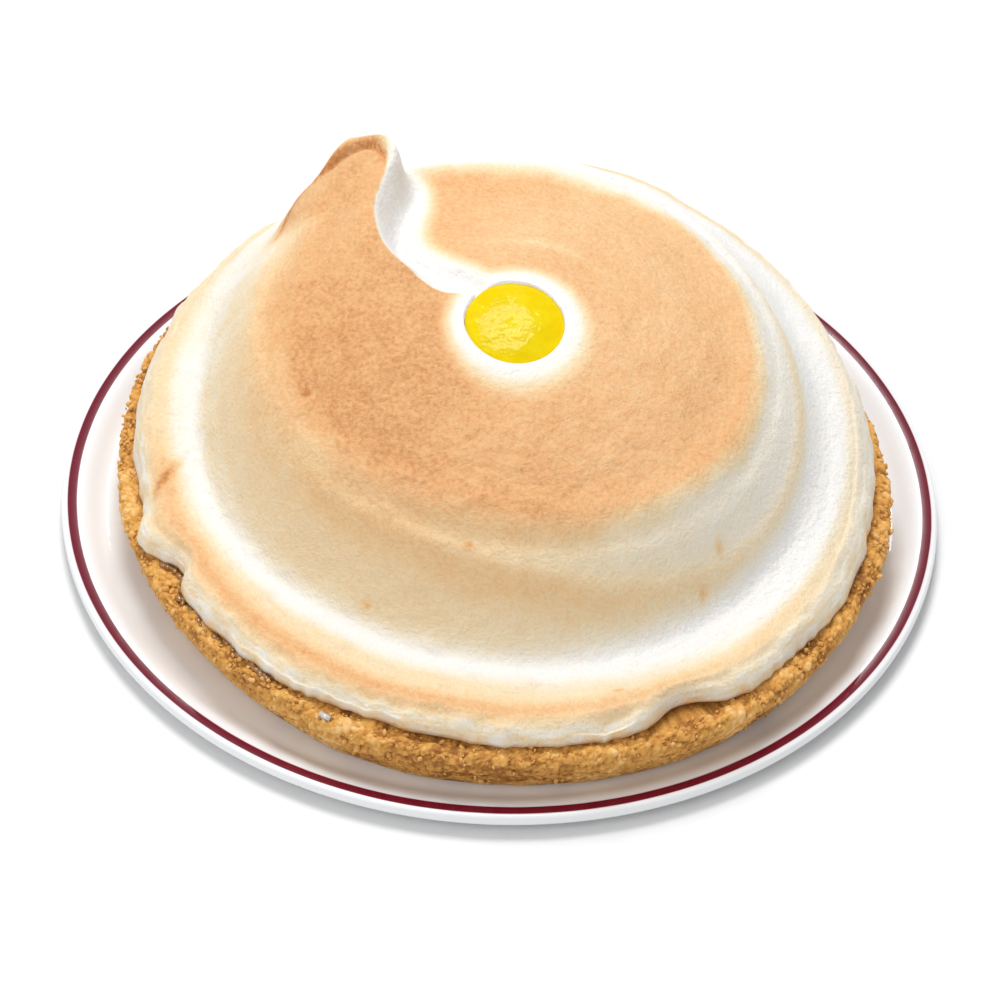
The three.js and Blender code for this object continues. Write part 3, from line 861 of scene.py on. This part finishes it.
def add_crumb(bm, chance, row):
    """One angular bit of biscuit, half sunk in the case at a row of its section."""
    angle = chance.uniform(-180, 180)
    reach, height, _, out, up = (float(v) for v in crust_points(row, angle))
    size = chance.choice((0.4, 0.5, 0.6, 0.8, 1.2)) * chance.uniform(0.8, 1.2)
    sink = chance.uniform(-0.3, 0.4) * size
    way = math.radians(angle)
    reach = (reach + sink * out) * oval(angle)
    place = Vector((PIE_CENTRE[0] + reach * math.cos(way), PIE_CENTRE[1] + reach * math.sin(way),
                    height + sink * abs(up))) * MM
    flat = (size * MM, size * MM * chance.uniform(0.5, 1), size * MM * chance.uniform(0.35, 0.7), 1)
    spin = Euler([chance.uniform(0, math.tau) for _ in range(3)]).to_matrix().to_4x4()
    shape = Matrix.Translation(place) @ spin @ Matrix.Diagonal(flat)
    made = bmesh.ops.create_icosphere(bm, subdivisions=1, radius=1, matrix=shape)
    for vert in made["verts"]:
        vert.co += noise.noise_vector(vert.co * 1400) * size * 0.45 * MM


def make_loose_crumbs():
    chance = random.Random(11)
    section = crust_section()
    heights = section[:, 1]
    wall_rows = [row for row in range(3, len(section) - 3) if heights[row] > WELL_TOP + 3]
    bm = bmesh.new()
    for _ in range(LOOSE_CRUMBS // CRUMBS_AT_ONCE):
        few = bmesh.new()
        for _ in range(CRUMBS_AT_ONCE):
            on_rim = chance.random() < RIM_SHARE
            add_crumb(few, chance, chance.choice(wall_rows[:RIM_ROWS] if on_rim else wall_rows))
        sprinkled = bpy.data.meshes.new("sprinkled")
        few.to_mesh(sprinkled)
        few.free()
        bm.from_mesh(sprinkled)
        bpy.data.meshes.remove(sprinkled)
    crumbs = mesh_piece("rim_crumbs", bm)
    paint_value(crumbs.data, "crevice", np.full(len(crumbs.data.vertices), 0.25))
    return crumbs


crumbs = make_loose_crumbs()
crumbs.data.materials.append(crumb)
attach(crumbs, "root")

# ---------------------------------------------------------------------------------------------
# Syrup and sugar. Beads of amber sugar syrup that weep from the foot of the meringue while it
# bakes, resting on the rim of the case beside the hooked tongue, and one stray grain of sugar.
# ---------------------------------------------------------------------------------------------
SYRUP_BEADS = 46
SYRUP_START = -156
SYRUP_SPREAD = 30
SUGAR_ANGLE = -115
SUGAR_REACH = 120.4
SUGAR_SIZE = (4, 1.6, 1.2)


def make_syrup_beads():
    chance = random.Random(5)
    bm = bmesh.new()
    for _ in range(SYRUP_BEADS):
        angle = SYRUP_START + SYRUP_SPREAD * chance.random() ** 1.7
        way = math.radians(angle)
        reach = (MERINGUE_RADIUS + float(edge_wander(angle)) + chance.uniform(-0.2, 1.3)) * oval(angle)
        size = chance.uniform(0.4, 1.1)
        place = Vector((PIE_CENTRE[0] + reach * math.cos(way), PIE_CENTRE[1] + reach * math.sin(way),
                        CRUST_TOP - 0.3)) * MM
        turned = Matrix.Translation(place) @ Matrix.Rotation(way, 4, "Z")
        shape = turned @ Matrix.Diagonal((size * MM, size * 1.5 * MM, size * 0.7 * MM, 1))
        bmesh.ops.create_icosphere(bm, subdivisions=3, radius=1, matrix=shape)
    return mesh_piece("syrup_beads", bm)


def make_sugar_grain():
    way = math.radians(SUGAR_ANGLE)
    reach = SUGAR_REACH * oval(SUGAR_ANGLE)
    place = Vector((PIE_CENTRE[0] + reach * math.cos(way), PIE_CENTRE[1] + reach * math.sin(way),
                    CRUST_TOP - 0.1)) * MM
    bm = bmesh.new()
    turned = Matrix.Translation(place) @ Matrix.Rotation(way + 1.4, 4, "Z")
    shape = turned @ Matrix.Diagonal([side * MM for side in SUGAR_SIZE] + [1])
    bmesh.ops.create_cube(bm, size=1, matrix=shape)
    bmesh.ops.bevel(bm, geom=bm.edges[:], offset=0.15 * MM, segments=2, affect="EDGES")
    return mesh_piece("sugar_grain", bm)


def clear_finish(name, tone, roughness):
    """A half-clear sugary solid with a wet surface."""
    finish, tree, shader, place = start_finish(
        name, Roughness=roughness, IOR=1.48, Coat_Weight=0.6, Coat_Roughness=0.04, Transmission_Weight=0.35)
    cloudy = mixed(tree, grain(tree, place, 0.002), tone, tuple(0.8 * part for part in tone[:3]) + (1,))
    tree.links.new(cloudy, shader.inputs["Base Color"])
    return finish


syrup = make_syrup_beads()
syrup.data.materials.append(clear_finish("amber_syrup", (0.5, 0.22, 0.05, 1), 0.08))
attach(syrup, "root")
sugar = make_sugar_grain()
sugar.data.materials.append(clear_finish("clear_sugar", (0.93, 0.91, 0.88, 1), 0.12))
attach(sugar, "root")

# ---------------------------------------------------------------------------------------------
# Table, light and camera. A white studio table under a large soft light from above and behind, with
# a weaker one at the front left and a small bright one behind, which makes the curd sparkle. A long
# lens looks down on the front of the pie.
# ---------------------------------------------------------------------------------------------
VIEW_ELEVATION = 44.2
VIEW_DISTANCE = 3.0
VIEW_ROLL = 0.0442
LENS = 346.8
AIM = Vector((0, 0.0015, 0.0069))
STUDIO_BRIGHTNESS = 0.57


def make_table():
    bm = bmesh.new()
    bmesh.ops.create_grid(bm, x_segments=1, y_segments=1, size=6)
    table = mesh_piece("white_table", bm)
    finish, tree, shader, place = start_finish("white_paper", Roughness=0.9, Specular_IOR_Level=0.1)
    tone = mixed(tree, grain(tree, place, 0.4), (0.84, 0.84, 0.84, 1), (0.85, 0.85, 0.85, 1))
    tree.links.new(tone, shader.inputs["Base Color"])
    table.data.materials.append(finish)
    return table


def soft_light(name, place, size, power):
    """A round white lamp, size metres across, that faces the plate."""
    lamp = bpy.data.lights.new(name, "AREA")
    lamp.shape = "DISK"
    lamp.size = size
    lamp.energy = power
    stand = bpy.data.objects.new(name, lamp)
    stand.location = place
    stand.rotation_euler = (-Vector(place)).to_track_quat("-Z", "Y").to_euler()
    bpy.context.scene.collection.objects.link(stand)


def make_camera():
    lens = bpy.data.cameras.new("camera")
    lens.lens = LENS
    lens.clip_end = 20
    stand = bpy.data.objects.new("camera", lens)
    tilt = math.radians(VIEW_ELEVATION)
    back = Vector((0, -math.cos(tilt), math.sin(tilt)))
    turned = Euler((math.pi / 2 - tilt, 0, 0)).to_matrix() @ Matrix.Rotation(VIEW_ROLL, 3, "Z")
    stand.rotation_euler = turned.to_euler()
    stand.location = AIM + back * VIEW_DISTANCE
    bpy.context.scene.collection.objects.link(stand)
    bpy.context.scene.camera = stand


make_table()
soft_light("overhead_softbox", (-0.1, 0.6, 1.6), 0.8, 19)
soft_light("front_fill", (-0.9, -1.1, 1.2), 1.2, 7.5)
soft_light("back_spot", (0.02, 1.25, 1.22), 0.06, 1.6)
world = bpy.data.worlds.new("white_studio")
world.use_nodes = True
world.node_tree.nodes["Background"].inputs["Color"].default_value = (1, 1, 1, 1)
world.node_tree.nodes["Background"].inputs["Strength"].default_value = STUDIO_BRIGHTNESS
bpy.context.scene.world = world
bpy.context.scene.view_settings.view_transform = "Standard"
make_camera()
